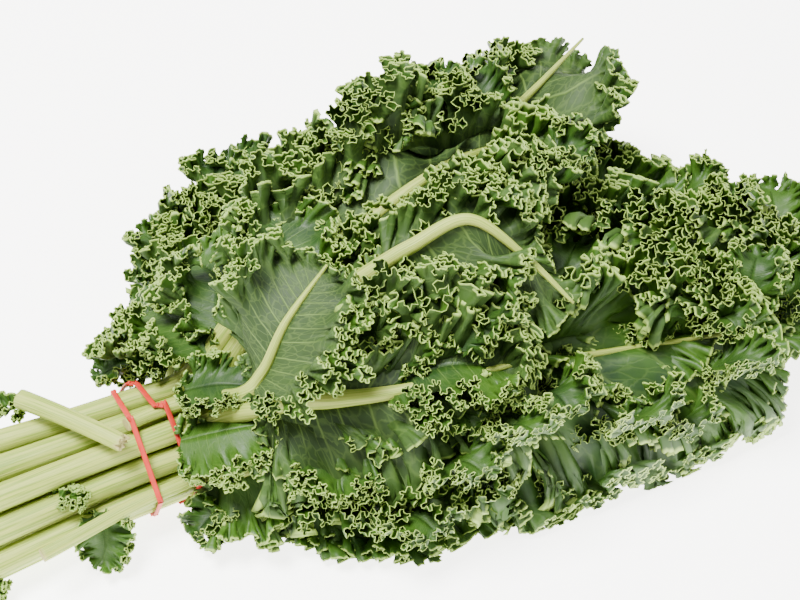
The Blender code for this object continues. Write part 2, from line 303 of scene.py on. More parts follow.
def mound_height(x, y):
    """Height of the whole mound: full over the middle, and lower towards either edge."""
    right = smooth_through(MOUND_X, MOUND_RIGHT, x)[..., 0]
    left = smooth_through(MOUND_X, MOUND_LEFT, x)[..., 0]
    crest = smooth_through(MOUND_X, MOUND_CREST, x)[..., 0]
    across = np.clip(np.abs((2 * y - left - right) / (left - right)), 0.0, 1.0)
    height = crest * (EDGE_SHARE + (1 - EDGE_SHARE) * np.sqrt(1 - across**MOUND_FULLNESS))
    wave = np.sin(TURN * x / WAVE_ALONG) * np.cos(TURN * y / WAVE_ACROSS)
    return height + WAVE_HEIGHT * wave * ease((x - 50.0) / 60.0)


def stalk_points(place, behind):
    """Three route points of a stalk: its cut end, the band, and where it starts to fan out."""
    y, z = place
    cut_z = CUT_ROW_0 + (z - ROW_0) * CUT_LIFT
    return [(-behind, y * CUT_SPREAD, cut_z), (0.0, y, z), (LEVEL_TO, y, z)]


def routes():
    """Every leaf's name, stalk radius, share of the mound and route, young leaves last."""
    for name, place, radius, behind, share, plan in LEAVES:
        plan = np.asarray(plan, float)
        heights = share * mound_height(plan[:, 0], plan[:, 1]) + LIFTS.get(name, 0.0)
        heights = np.maximum(heights, radius * np.linspace(1.0, 0.3, len(plan)))
        route = stalk_points(place, behind) + [(x, y, z) for (x, y), z in zip(plan, heights)]
        yield name, radius, share, np.array(route)
    for name, place, radius, behind, route in YOUNG_LEAVES:
        yield name, radius, None, np.array(stalk_points(place, behind) + list(route))


def lengths(line):
    """Length along a line of points, from 0 at its start."""
    steps = np.linalg.norm(np.diff(line, axis=0), axis=-1)
    return np.concatenate([[0.0], np.cumsum(steps)])


class Blade:
    """The surface of a frilled blade, as a function of q round the margin and the distance
    from it.

    q runs from 0 at the foot's left side, over 0.5 at the tip, to 1 at the foot's right
    side. A line of constant q is one side vein. The route's part behind the foot is stalk.
    With a share the blade follows the mound at that share of its height.
    """

    def __init__(self, route, foot, half, curl, roll, seed,
                 share=None, sink=0.0, tilt=0.0, early=0.0, lies=RIGHT_LIES_ELSE):
        self.half, self.curl, self.roll, self.seed = half, curl, roll, seed
        self.share, self.sink, self.tilt, self.lies = share, sink, tilt, lies
        self.size = min(1.0, 0.30 + half / 60.0)
        self.curled = min(CURLED, 0.75 * half)
        self.knots = lengths(route)
        self.route = route
        self.start = self.knots[foot] - early
        self.span = self.knots[-1] - self.start

    def middle(self, along):
        """Points of the rib at lengths along the blade, and the directions ahead and left."""
        where = self.start + np.clip(along, 0.0, self.span)
        point = smooth_through(self.knots, self.route, where)
        ahead = smooth_through(self.knots, self.route, where + 1.0)
        ahead = unit(ahead - smooth_through(self.knots, self.route, where - 1.0))
        side = np.stack([-ahead[..., 1], ahead[..., 0], np.zeros_like(ahead[..., 0])], axis=-1)
        point[..., 2] -= self.sink * ease(along / self.span * 4.0)
        return point, ahead, unit(side)

    def base(self, q, distance):
        """The blade before it is frilled.

        The margin runs out and round the tip like half a cosine wave along the rib, and as
        a flattened half sine across. Each side vein leaves the rib behind its margin point
        and sweeps forward to it. Along a vein the blade runs straight at its roll, and then
        on a circular arc that turns it up by the curl over its last stretch.
        """
        q, p = np.meshgrid(q, 1.0 - np.asarray(distance) / self.half)
        sign = np.where(q < 0.5, 1.0, -1.0)
        t = 1.0 - np.abs(2.0 * q - 1.0)
        margin = self.span * (1.0 - np.cos(math.pi * t)) / 2.0
        root = ROOT_SHARE * self.span * ((1.0 - np.cos(math.pi * t**1.15)) / 2.0) ** 1.1
        wide = self.half * np.sin(math.pi * t) ** 0.6 * (1.0 + 0.10 * wander(q * 26.0, self.seed + 3))
        point, ahead, side = self.middle(root)
        way = ahead * (margin - root)[..., None] + side * (sign * wide)[..., None]
        reach = np.hypot(margin - root, wide) * p * (1.0 + 0.10 * p**2 * wander(q * 60.0, self.seed + 11))
        flat = self.half - self.curled
        bend = self.curl / self.curled * (0.85 + 0.55 * wander(q * 16.0, self.seed + 5))
        bend = bend * (1.0 - self.lies * ease((q - 0.45) / 0.1))
        bend = np.where(np.abs(bend) < 1e-4, 1e-4, bend)
        straight = np.minimum(reach, flat)
        turned = self.roll + bend * np.maximum(reach - flat, 0.0)
        outward = straight * math.cos(self.roll) + (np.sin(turned) - math.sin(self.roll)) / bend
        rise = straight * math.sin(self.roll) + (math.cos(self.roll) - np.cos(turned)) / bend
        placed = point + unit(way) * outward[..., None]
        if self.share is not None:
            drop = mound_height(placed[..., 0], placed[..., 1])
            placed[..., 2] += self.share * (drop - mound_height(point[..., 0], point[..., 1]))
        placed[..., 2] += rise + self.tilt * sign * outward
        return placed

    def frill(self, points, distance, phase, level):
        """One size of frill: a meander along the surface's normal, whose bends bulge over
        their neighbours. It grows from nothing inside the margin to its full height on it."""
        _length, height, width, bulge = FRILLS[level]
        t_way = unit(np.gradient(points, axis=1))
        out_way = np.gradient(points, -np.asarray(distance), axis=0)
        normal = unit(np.cross(t_way, out_way))
        width = width * self.size
        grow = ease((width - distance) / width) ** 1.15
        size = height * self.size * (1.0 + 0.4 * wander(phase / 9.0, self.seed + 31 * level))
        size = grow[:, None] * size[None, :]
        points = points + normal * (size * np.sin(phase))[..., None]
        return points - t_way * (size * bulge * np.sin(2.0 * phase))[..., None]

    def phases(self, stretch):
        """Each level's phase round the margin, which advances with the length of the margin
        as the broader levels have left it, and the final length."""
        q = np.linspace(stretch[0], stretch[1], DENSE)
        distance = np.array([1.5, 0.0])
        points = self.base(q, distance)
        found = []
        for level, (wavelength, *_rest) in enumerate(FRILLS):
            length = lengths(points[-1])
            phase = TURN * length / (wavelength * self.size)
            phase = phase + 1.2 * wander(phase / 7.0, self.seed + 71 * level)
            found.append(phase)
            points = self.frill(points, distance, phase, level)
        return q, found, lengths(points[-1])

    def surface(self, rows, columns, stretch):
        """The frilled blade on a grid of rows by columns, which stand even along the margin."""
        dense_q, found, length = self.phases(stretch)
        even = np.linspace(0.0, length[-1], columns + 1)
        q = np.interp(even, length, dense_q)
        points = self.base(q, rows)
        for level, phase in enumerate(found):
            points = self.frill(points, rows, np.interp(q, dense_q, phase), level)
        return q, points


def lobe_paths(blade, name, seed):
    """Short routes of the lobes that rise from a leaf beside its rib, by turns on either
    side: each route with the lobe's half-width, roll and curl."""
    count, low, high = LOBES.get(name, (0, 0.0, 0.0))
    rng = np.random.default_rng(seed + 1)
    for k in range(count):
        share = low + (high - low) * (k + 0.7 * rng.random()) / count
        point, ahead, side = blade.middle(np.array([share * blade.span]))
        hand = 1.0 if (k + seed) % 2 else -1.0
        away = (0.25 + 0.45 * rng.random()) * blade.half * math.sin(math.pi * min(share, 0.9)) ** 0.5
        start = point[0] + side[0] * hand * away
        way = ahead[0] * (0.2 + 0.8 * rng.random()) + side[0] * hand * (0.5 + 0.6 * rng.random())
        way = unit(way * [1.0, 1.0, 0.0])
        if blade.share is not None:
            start[2] += blade.share * float(
                mound_height(start[:1], start[1:2])[0] - mound_height(point[:, 0], point[:, 1])[0])
        long = 24.0 + 12.0 * rng.random()
        rise = 10.0 + 9.0 * rng.random()
        path = np.array([start - [0, 0, 1.0], start + way * long * 0.55 + [0, 0, rise],
                         start + way * long + [0, 0, rise * 0.9]])
        yield path, 15.0 + 6.0 * rng.random(), 0.1, 0.9 + 0.7 * rng.random()


def keep_inside(points):
    """Points pressed softly back above the surface and inside the bunch's allowed box."""
    low = (np.array(cad_low) - ROOM) / MM - np.array(BAND_PLACE) / MM
    high = (np.array(cad_high) + ROOM) / MM - np.array(BAND_PLACE) / MM
    low[2] = 0.3
    soft = 4.0
    points = low + soft * np.logaddexp(0.0, (points - low) / soft)
    return high - soft * np.logaddexp(0.0, (high - points) / soft)


def strip(inner, outer, inner_step, outer_step):
    """Triangles between two rows of a grid, where the inner row may have half the columns."""
    a, b = inner[:-1], inner[1:]
    if inner_step == outer_step:
        c, d = outer[1:], outer[:-1]
        return np.concatenate([np.stack([a, b, c], 1), np.stack([a, c, d], 1)])
    c, d, e = outer[:-2:2], outer[1:-1:2], outer[2::2]
    return np.concatenate([np.stack([a, d, c], 1), np.stack([a, b, d], 1), np.stack([b, e, d], 1)])


def blade_rows(half, whole):
    """Distances from the margin and column steps of the rows, from the innermost out."""
    distance = [d for d in ROWS if d < 0.8 * half]
    steps = list(ROW_STEPS[: len(distance)])
    if whole:
        distance += list(np.linspace(distance[-1], half, INNER_ROWS + 1)[1:])
        steps += [steps[-1]] * INNER_ROWS
    return np.array(distance[::-1]), steps[::-1]


def shell(blade, columns, stretch, whole, face, thick):
    """The blade as a thin closed shell: vertices, triangles, what the material reads, and
    a flat unwrapping.

    The two skins stand half the leaf's thickness off the surface, and meet along the edge.
    """
    distance, steps = blade_rows(blade.half, whole)
    q, points = blade.surface(distance, columns, stretch)
    t_way = np.gradient(points, axis=1)
    out_way = np.gradient(points, -distance, axis=0)
    normal = unit(np.cross(t_way, out_way))
    thin = thick / 2 * np.where(distance < 1.0, 0.6, 1.0)[:, None, None]
    picked = [np.arange(0, columns + 1, step) for step in steps]
    counts = np.array([len(c) for c in picked])
    starts = np.concatenate([[0], np.cumsum(counts)[:-1]])
    row = np.repeat(np.arange(len(distance)), counts)
    column = np.concatenate(picked)
    vertices, data = [], []
    for sign in (1.0, -1.0):
        vertices.append(keep_inside(points + sign * normal * thin)[row, column])
        under = 0.0 if sign == face else 1.0
        data.append(np.stack([q[column], 1.0 - distance[row] / 60.0, np.full(len(row), under)], 1))
    top = np.concatenate([
        strip(starts[r] + np.arange(counts[r]), starts[r + 1] + np.arange(counts[r + 1]),
              steps[r], steps[r + 1]) for r in range(len(distance) - 1)])
    ring = loop_of(starts, counts)
    total = len(row)
    rim = np.concatenate([
        np.stack([ring[:-1], ring[1:], ring[1:] + total], 1),
        np.stack([ring[:-1], ring[1:] + total, ring[:-1] + total], 1),
    ])
    triangles = np.concatenate([top, top[:, ::-1] + total, rim])
    unwrapped = unwrap(triangles, row, column, columns, distance)
    return np.concatenate(vertices), triangles, np.concatenate(data), unwrapped


def loop_of(starts, counts):
    """Vertex numbers right round the edge of the grid: margin, end, rib and end again."""
    margin = starts[-1] + np.arange(counts[-1])
    last = (starts + counts - 1)[-2::-1]
    rib = starts[0] + np.arange(counts[0] - 2, -1, -1)
    return np.concatenate([margin, last, rib, starts[1:]])


def unwrap(triangles, row, column, columns, distance):
    """A flat place for each corner: the blade's length is cut into bands that lie one over
    another, each with the upper skin, the rim and the lower skin side by side."""
    total = len(row)
    skin = triangles // total
    at_row, at_column = row[triangles % total], column[triangles % total]
    per_band = columns // UV_BANDS
    band = np.minimum(at_column.min(axis=1) // per_band, UV_BANDS - 1)[:, None]
    across = 0.44 * distance[at_row] / distance[0]
    up = np.where(skin == 0, 0.47 - across, 0.53 + across)
    edge = (skin.min(axis=1) != skin.max(axis=1)) & (at_row.max(axis=1) == 0)
    up = np.where(edge[:, None], 0.985 + 0.01 * skin, up)
    along = 0.005 + 0.99 * (at_column - band * per_band) / per_band
    return np.stack([along, (band + up) / UV_BANDS], -1).reshape(-1, 2)


def add_mesh(name, vertices, triangles, attributes=None, unwrapped=None):
    """A smooth mesh object at the origin from points in millimetres about the band."""
    mesh = bpy.data.meshes.new(name)
    placed = vertices * MM + np.array(BAND_PLACE)
    mesh.vertices.add(len(placed))
    mesh.vertices.foreach_set("co", placed.astype(np.float32).ravel())
    mesh.loops.add(3 * len(triangles))
    mesh.loops.foreach_set("vertex_index", triangles.astype(np.int32).ravel())
    mesh.polygons.add(len(triangles))
    mesh.polygons.foreach_set("loop_start", np.arange(0, 3 * len(triangles), 3, dtype=np.int32))
    mesh.update(calc_edges=True)
    for key, values in (attributes or {}).items():
        kind = "FLOAT_VECTOR" if values.ndim == 2 else "FLOAT"
        layer = mesh.attributes.new(key, kind, "POINT")
        layer.data.foreach_set("vector" if values.ndim == 2 else "value", values.astype(np.float32).ravel())
    if unwrapped is not None:
        layer = mesh.uv_layers.new(name="OFBake")
        layer.data.foreach_set("uv", unwrapped.astype(np.float32).ravel())
    mesh.shade_smooth()
    item = bpy.data.objects.new(name, mesh)
    bpy.context.scene.collection.objects.link(item)
    return item


def finish_piece(item, material, nodes):
    """Give a piece its material, its place in the row and the nodes that it stands for."""
    item.data.materials.append(material)
    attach(item, "root")
    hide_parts(*nodes)


def tube(line, radius, sides, ridges=None):
    """A closed tube of rings along a line, with a flat disc of rings over each end.

    radius is a row of radii along the line, and ridges(angle, length) a factor on them.
    """
    ahead = unit(np.gradient(line, axis=0))
    side = unit(np.stack([-ahead[:, 1], ahead[:, 0], np.zeros(len(line))], 1))
    up = np.cross(ahead, side)
    length = lengths(line)
    inner = np.array([0.0, 0.45, 0.86])
    rows = np.concatenate([np.zeros(3, int), np.arange(len(line)), np.full(3, len(line) - 1)])
    share = np.concatenate([inner, np.ones(len(line)), inner[::-1]])
    angle = np.linspace(0.0, TURN, sides, endpoint=False)
    reach = radius[rows][:, None] * share[:, None] * np.ones(sides)
    if ridges is not None:
        reach = reach * ridges(angle[None, :], length[rows][:, None])
    rings = line[rows][:, None] + reach[..., None] * (
        side[rows][:, None] * np.cos(angle)[None, :, None]
        + up[rows][:, None] * np.sin(angle)[None, :, None]
    )
    data = np.stack(np.broadcast_arrays(angle[None, :], length[rows][:, None], share[:, None]), -1)
    return weld_ends(rings.reshape(-1, 3), ring_faces(len(rows), sides), data.reshape(-1, 3), sides)


def weld_ends(vertices, triangles, data, sides):
    """Join the first and the last ring, which have no size, into one vertex each."""
    last = len(vertices) - sides
    triangles = np.where(triangles < sides, 0, np.minimum(triangles, last))
    a, b, c = triangles.T
    triangles = triangles[(a != b) & (b != c) & (c != a)]
    kept = np.concatenate([[0], np.arange(sides, last + 1)])
    triangles = np.searchsorted(kept, triangles)
    return vertices[kept], triangles, data[kept]


def ring_faces(rows, sides, closed=False):
    """Triangles between successive rings, or all the way round for a closed loop of them."""
    ring = np.arange(rows if closed else rows - 1)[:, None]
    after = (ring + 1) % rows
    k = np.arange(sides)[None, :]
    n = (k + 1) % sides
    a, b, c, d = ring * sides + k, ring * sides + n, after * sides + n, after * sides + k
    return np.concatenate([
        np.stack([a, b, c], -1).reshape(-1, 3),
        np.stack([a, c, d], -1).reshape(-1, 3),
    ])


def stalk_line(radius, route, face, sink):
    """A stalk's middle line and radii: level with its cut end, through the band, and on as
    the rib, which sinks to the underside of the blade and narrows to the tip."""
    knots = lengths(route)
    where = np.concatenate([
        np.linspace(0.0, knots[FOOT], 60, endpoint=False),
        np.linspace(knots[FOOT], knots[-1], 80),
    ])
    line = smooth_through(knots, route, where)
    blade = np.clip((where - knots[FOOT]) / (knots[-1] - knots[FOOT]), 0.0, 1.0)
    power, narrow = (1.3, 0.3) if face > 0 else (0.85, 0.15)
    size = RIB_AT_TIP + (radius - RIB_AT_TIP) * (1.0 - blade) ** power * (1.0 - narrow * ease(blade * 5.0))
    size = size * (1 + (STALK_FLARE - 1) * ease((knots[FOOT] - where - FLARE_FROM) / FLARE_OVER))
    line[:, 2] -= face * size * 0.55 * ease(blade * 8.0) + sink * ease(blade * 4.0)
    line[:, 2] = np.maximum(line[:, 2], size * 1.05 + 0.2)
    return line, size


def stalk_ridges(seed):
    """A factor on a stalk's radius: fine ridges along it, and a shallow groove on one side."""
    rng = np.random.default_rng(seed)
    turn = TURN * rng.random()
    counts = rng.integers(5, 12, 3)

    def factor(angle, length):
        drift = 0.25 * np.sin(length / 37.0 + turn)
        total = 1.0 + 0.0 * angle * length
        for count in counts:
            total = total + 0.010 * np.cos(count * (angle + drift) + turn * count)
        return total - 0.06 * np.exp(-((np.cos(angle - 1.57 + drift) - 1.0) / 0.10) ** 2)

    return factor


def band_route():
    """The rubber band's middle line: two turns round the stalks that cross on the far side,
    against the outermost stalk in each direction."""
    turns = np.linspace(0.0, 2 * TURN, BAND_POINTS, endpoint=False)
    along = 1.0 + 4.0 * np.cos(turns) + 10.0 * np.cos(turns / 2)
    lift = (BAND_THICK + BAND_GAP) * np.maximum(0.0, np.sin(turns / 2)) ** 8
    out = np.stack([-np.cos(turns), np.sin(turns)], axis=1)
    furthest = np.full(BAND_POINTS, -np.inf)
    middle = np.zeros((BAND_POINTS, 2))
    for _name, radius, _share, route in routes():
        knots = lengths(route)
        line = smooth_through(knots, route, np.linspace(0.0, knots[FOOT], 120))
        place = np.stack([np.interp(along, line[:, 0], line[:, axis]) for axis in (1, 2)], 1)
        clear = radius * BAND_STRETCH + BAND_THICK / 2 + lift
        reach = np.sum(place * out, axis=1) + clear
        outer = reach > furthest
        furthest = np.where(outer, reach, furthest)
        middle = np.where(outer[:, None], place + out * clear[:, None], middle)
    return np.column_stack([along, middle])


def band_loop(width, depth):
    """The band as a closed loop with a flat section, a box with rounded corners.

    Its flat side lies against the stalks, and turns to and fro by the twist three times.
    """
    line = band_route()
    where = np.linspace(0.0, BAND_POINTS, BAND_RINGS, endpoint=False)
    padded = np.concatenate([line[-3:], line, line[:4]])
    line = smooth_through(np.arange(-3.0, BAND_POINTS + 4.0), padded, where)
    ahead = unit(np.roll(line, -1, 0) - np.roll(line, 1, 0))
    wide = unit(np.array([1.0, 0.0, 0.0]) - ahead * ahead[:, :1])
    twist = BAND_TWIST * np.sin(TURN * where / BAND_POINTS * 3.0)
    turned = wide * np.cos(twist)[:, None] + np.cross(ahead, wide) * np.sin(twist)[:, None]
    out = np.cross(ahead, turned)
    angle = np.linspace(0.0, TURN, BAND_SIDES, endpoint=False)
    across = np.sign(np.cos(angle)) * np.abs(np.cos(angle)) ** BAND_CORNER * width / 2
    deep = np.sign(np.sin(angle)) * np.abs(np.sin(angle)) ** BAND_CORNER * depth / 2
    rings = line[:, None] + turned[:, None] * across[None, :, None] + out[:, None] * deep[None, :, None]
    rings[..., 2] = np.maximum(rings[..., 2], 0.15)
    return rings.reshape(-1, 3), ring_faces(BAND_RINGS, BAND_SIDES, closed=True)


def cut_piece(radius):
    """The short cut stalk: ridged, with a square end and a torn, browned end.

    The torn end is shifted along the stalk by a coarse and a fine random line round it.
    """
    start, end = np.array(CUT_STALK_TO), np.array(CUT_STALK_FROM)
    share = np.linspace(0.0, 1.0, 60)[:, None]
    line = start + (end - start) * share
    line[:, 2] += CUT_STALK_BOW * np.sin(math.pi * share[:, 0])
    size = radius * (0.94 + 0.10 * share[:, 0])
    vertices, triangles, data = tube(line, size, 36, stalk_ridges(77))
    angle, length, reach = data.T
    torn = 1.0 - ease(length / TORN)
    jag = wander(angle * 3.0, 9) * 1.6 + wander(angle * 11.0 + reach * 9.0, 5) * 0.9
    ahead = (end - start) / np.linalg.norm(end - start)
    return vertices + ahead * (torn * jag * reach)[:, None], triangles, data


# --- materials ---------------------------------------------------------------------


class Value:
    """A shader socket that takes part in Python sums: each operation adds a Math node."""

    def __init__(self, tree, socket):
        self.tree = tree
        self.socket = socket

    def math(self, operation, *others):
        """This value and the others through a Math node."""
        return self.tree.node("ShaderNodeMath", {"operation": operation}, {
            k: v for k, v in enumerate((self, *others))})

    def __add__(self, other):
        return self.math("ADD", other)

    __radd__ = __add__

    def __mul__(self, other):
        return self.math("MULTIPLY", other)

    __rmul__ = __mul__

    def __sub__(self, other):
        return self.math("SUBTRACT", other)

    def __rsub__(self, other):
        return (self * -1.0) + other


class Tree:
    """A material's node tree, made again if the material is there, with a maker of nodes."""

    def __init__(self, name):
        self.material = bpy.data.materials.get(name) or bpy.data.materials.new(name)
        self.material.use_nodes = True
        self.nodes = self.material.node_tree.nodes
        for old in list(self.nodes):
            if old.type not in ("BSDF_PRINCIPLED", "OUTPUT_MATERIAL"):
                self.nodes.remove(old)
        self.links = self.material.node_tree.links
        self.shader = self.nodes["Principled BSDF"]

    def node(self, kind, settings=None, inputs=None, output=0):
        """A node of this kind: its settings first, then its sockets' values or links."""
        made = self.nodes.new(kind)
        for key, value in (settings or {}).items():
            setattr(made, key, value)
        for key, value in (inputs or {}).items():
            self.put(made.inputs[key], value)
        return Value(self, made.outputs[output])

    def put(self, socket, value):
        """A socket's value, or a link to it."""
        if isinstance(value, Value):
            self.links.new(value.socket, socket)
        else:
            socket.default_value = value

    def attribute(self, name, output="Vector"):
        """What a mesh attribute holds."""
        return self.node("ShaderNodeAttribute", {"attribute_name": name}, output=output)

    def split(self, vector):
        """A vector's three numbers."""
        first = self.node("ShaderNodeSeparateXYZ", inputs={0: vector})
        outputs = first.socket.node.outputs
        return [Value(self, outputs[k]) for k in range(3)]

    def join(self, x, y, z):
        """A vector from three numbers."""
        return self.node("ShaderNodeCombineXYZ", inputs={0: x, 1: y, 2: z})

    def between(self, value, low, high):
        """0 where the value is at low, 1 at high, and a smooth rise between."""
        return self.node("ShaderNodeMapRange", {"interpolation_type": "SMOOTHSTEP"},
                         {"Value": value, "From Min": low, "From Max": high})

    def noise(self, vector, scale, detail=3.0, output="Fac"):
        """Noise at a scale, in patches per unit of the vector."""
        return self.node("ShaderNodeTexNoise", inputs={
            "Vector": vector, "Scale": scale, "Detail": detail}, output=output)

    def mix(self, factor, first, second):
        """A colour between two others."""
        return self.node("ShaderNodeMix", {"data_type": "RGBA"}, {
            0: factor, 6: first, 7: second}, output=2)

    def bump(self, height, strength, distance):
        """Relief from a height."""
        self.put(self.shader.inputs["Normal"], self.node("ShaderNodeBump", inputs={
            "Height": height, "Strength": strength, "Distance": distance}))


def rgb(colour):
    """A property's colour as a socket's four numbers."""
    return (colour[0], colour[1], colour[2], 1.0)


def leaf_material(colours):
    """Leaf skin: green above, grey-green beneath, a net of pale veins, and a thin pale rim along the margin
    that is partly the margin's own paler green and partly a painted highlight where light catches the edge.
    """
    tree = Tree("leaf_skin")
    around, across, under = tree.split(tree.attribute("blade"))
    tone = tree.attribute("tone", "Fac")
    place = tree.node("ShaderNodeTexCoord", output="Object")
    patches = tree.noise(place, 38.0, 3.0)
    fine = tree.noise(place, 420.0, 3.0)
    upper = tree.mix(tree.between(patches + (tone - 0.5) * 0.6, 0.30, 0.72),
                     rgb(colours.upper_dark), rgb(colours.upper_light))
    beneath = tree.mix(tree.between(patches, 0.3, 0.7), rgb(colours.under_dark), rgb(colours.under_light))
    skin = tree.mix(under, upper, beneath)
    bent = around + (patches - 0.5) * 0.020
    main = tree.node("ShaderNodeMath", {"operation": "PINGPONG"}, {0: bent * 26.0, 1: 0.5})
    main_vein = 1.0 - tree.between(main, 0.01, 0.075)
    cells = tree.join(bent * 80.0 + across * 5.0, across * 12.0 + fine * 0.5, under * 3.0)
    net = tree.node("ShaderNodeTexVoronoi", {"feature": "DISTANCE_TO_EDGE"}, {
        "Vector": cells, "Scale": 1.0})
    net_vein = 1.0 - tree.between(net, 0.0, 0.12)
    veins = tree.node("ShaderNodeMath", {"operation": "MAXIMUM"}, {
        0: main_vein * (1.0 - tree.between(across, 0.55, 0.9)), 1: net_vein * 0.35})
    skin = tree.mix(veins * (0.30 + 0.22 * under), skin, rgb(colours.vein))
    edge = tree.between(across, 0.70, 0.98)
    skin = tree.mix(edge * 0.30, skin, rgb(colours.edge))
    # Thin pale rim along the margin: partly the margin's own paler green, partly a painted highlight where
    # light catches the edge.
    rim = tree.between(across, 0.983, 0.995)
    skin = tree.mix(rim * 0.80, skin, rgb(colours.rim))
    tree.put(tree.shader.inputs["Base Color"], skin)
    tree.put(tree.shader.inputs["Roughness"], 0.42 + 0.18 * fine + 0.12 * under)
    tree.bump(veins * (under * 1.6 - 0.6) + fine * 0.25, 0.35, 0.0006)
    tree.shader.inputs["Specular IOR Level"].default_value = 0.35
    return tree.material


def stalk_material(colours):
    """Stalk skin: pale yellow-green with whitish and greener streaks along it, and a tan
    fibrous cut face."""
    tree = Tree("stalk_skin")
    angle, length, share = tree.split(tree.attribute("stalk"))
    around = tree.node("ShaderNodeMath", {"operation": "SINE"}, {0: angle})
    over = tree.node("ShaderNodeMath", {"operation": "COSINE"}, {0: angle})
    seed = tree.attribute("tone", "Fac")
    along = tree.join(around * 2.6, over * 2.6, length * 0.012 + seed * 37.0)
    streak = tree.noise(along, 2.2, 4.0)
    line = tree.noise(tree.join(around * 9.0, over * 9.0, length * 0.02 + seed * 11.0), 1.6, 3.0)
    skin = tree.mix(tree.between(streak, 0.38, 0.66), rgb(colours.stalk_pale), rgb(colours.stalk_green))
    skin = tree.mix(tree.between(line, 0.55, 0.75) * 0.55, skin, rgb(colours.stalk_white))
    cut = 1.0 - tree.between(length, 0.0, 2.2)
    face = 1.0 - tree.between(share, 0.90, 0.99)
    fibre = tree.noise(tree.join(around * share * 8.0, over * share * 8.0, seed * 9.0), 2.4, 4.0)
    tan = tree.mix(fibre, rgb(colours.cut_pale), rgb(colours.cut_tan))
    skin = tree.mix(cut * 0.55, skin, tan)
    skin = tree.mix(face, skin, tan)
    tree.put(tree.shader.inputs["Base Color"], skin)
    tree.put(tree.shader.inputs["Roughness"], 0.40 + 0.25 * line)
    tree.bump(line * 0.8 + streak * 0.5, 0.35, 0.0008)
    tree.shader.inputs["Specular IOR Level"].default_value = 0.4
    return tree.material


def band_material(colours):
    """Matt red rubber, a little dusty."""
    tree = Tree("band_rubber")
    place = tree.node("ShaderNodeTexCoord", output="Object")
    dust = tree.noise(place, 300.0, 4.0)
    skin = tree.mix(dust, rgb(colours.band_dark), rgb(colours.band_light))
    tree.put(tree.shader.inputs["Base Color"], skin)
    tree.put(tree.shader.inputs["Roughness"], 0.42 + 0.25 * dust)
    tree.bump(dust, 0.2, 0.0003)
    return tree.material


def floor_material(colours):
    """A plain pale surface with hardly any grain, which glows a little to stay near white."""
    tree = Tree("pale_floor")
    place = tree.node("ShaderNodeTexCoord", output="Object")
    grain = tree.noise(place, 30.0, 2.0)
    skin = tree.mix(grain * 0.15, rgb(colours.floor), rgb(colours.floor_grain))
    tree.put(tree.shader.inputs["Base Color"], skin)
    tree.put(tree.shader.inputs["Roughness"], 0.75 + 0.1 * grain)
    tree.shader.inputs["Emission Color"].default_value = (1.0, 0.985, 0.955, 1.0)
    tree.shader.inputs["Emission Strength"].default_value = FLOOR_GLOW
    return tree.material


# --- the add-on --------------------------------------------------------------------


def colour_property(name, default, description):
    """A colour that a user may change."""
    return bpy.props.FloatVectorProperty(name=name, description=description, subtype="COLOR",
                                         size=3, min=0.0, max=1.0, default=default)


def length_property(name, default, description):
    """A length in metres that a user may change."""
    return bpy.props.FloatProperty(name=name, description=description, unit="LENGTH",
                                   subtype="DISTANCE", precision=5, min=0.0, default=default)


class KaleSizes(bpy.types.PropertyGroup):
    """Sizes of the leaves, the band and the cut stalk."""

    leaf_thickness: length_property("Leaf", 0.00045, "Thickness of a leaf's blade")
    band_width: length_property("Band width", 0.0025, "Width of the flat rubber band")
    band_depth: length_property("Band thickness", 0.0011, "Thickness of the flat rubber band")
    cut_radius: length_property("Cut stalk", 0.0044, "Radius of the short cut stalk")


class KaleColours(bpy.types.PropertyGroup):
    """Colours of the leaves, stalks, band and floor."""

    upper_dark: colour_property("Upper side, dark", (0.006, 0.028, 0.004), "Darkest green above")
    upper_light: colour_property("Upper side, light", (0.031, 0.084, 0.0055), "Lightest green above")
    under_dark: colour_property("Underside, dark", (0.015, 0.036, 0.006), "Darkest grey-green beneath")
    under_light: colour_property("Underside, light", (0.031, 0.066, 0.011), "Lightest grey-green beneath")
    vein: colour_property("Veins", (0.16, 0.26, 0.05), "Pale green of the veins")
    edge: colour_property("Frills", (0.056, 0.142, 0.007), "Yellower green near the margin")
    # The rim colour is partly the margin's own pale green and partly a painted highlight along the edge.
    rim: colour_property("Rim", (0.38, 0.54, 0.11), "Pale line along the margin")
    stalk_pale: colour_property("Stalk, pale", (0.40, 0.46, 0.085), "Pale yellow-green of the stalks")
    stalk_green: colour_property("Stalk, green", (0.21, 0.31, 0.03), "Green streaks of the stalks")
    stalk_white: colour_property("Stalk, white", (0.57, 0.59, 0.21), "Whitish streaks of the stalks")
    cut_pale: colour_property("Cut face, pale", (0.52, 0.52, 0.22), "Pale part of a cut face")
    cut_tan: colour_property("Cut face, tan", (0.33, 0.22, 0.07), "Dried part of a cut face")
    band_dark: colour_property("Band, dark", (0.42, 0.014, 0.006), "Darkest red of the rubber band")
    band_light: colour_property("Band, light", (0.60, 0.030, 0.014), "Lightest red of the rubber band")
    floor: colour_property("Floor", (0.92, 0.92, 0.91), "Colour of the floor")
    floor_grain: colour_property("Floor grain", (0.86, 0.85, 0.83), "Grain of the floor")


def add_blade(title, blade, columns, stretch, whole, face, tone, skin, node):
    """One closed frilled blade, ruff or lobe as a finished piece."""
    thick = bpy.context.scene.kale_sizes.leaf_thickness / MM
    vertices, triangles, data, unwrapped = shell(blade, columns, stretch, whole, face, thick)
    shade = np.full(len(vertices), tone)
    item = add_mesh(title, vertices, triangles, {"blade": data, "tone": shade}, unwrapped)
    finish_piece(item, skin, [node])


def add_stalk(title, shape, shade, skin, node):
    """One stalk as a finished piece, from its vertices, triangles and what its finish reads."""
    vertices, triangles, data = shape
    tone = np.full(len(vertices), shade)
    item = add_mesh(title, vertices, triangles, {"stalk": data, "tone": tone})
    finish_piece(item, skin, [node])


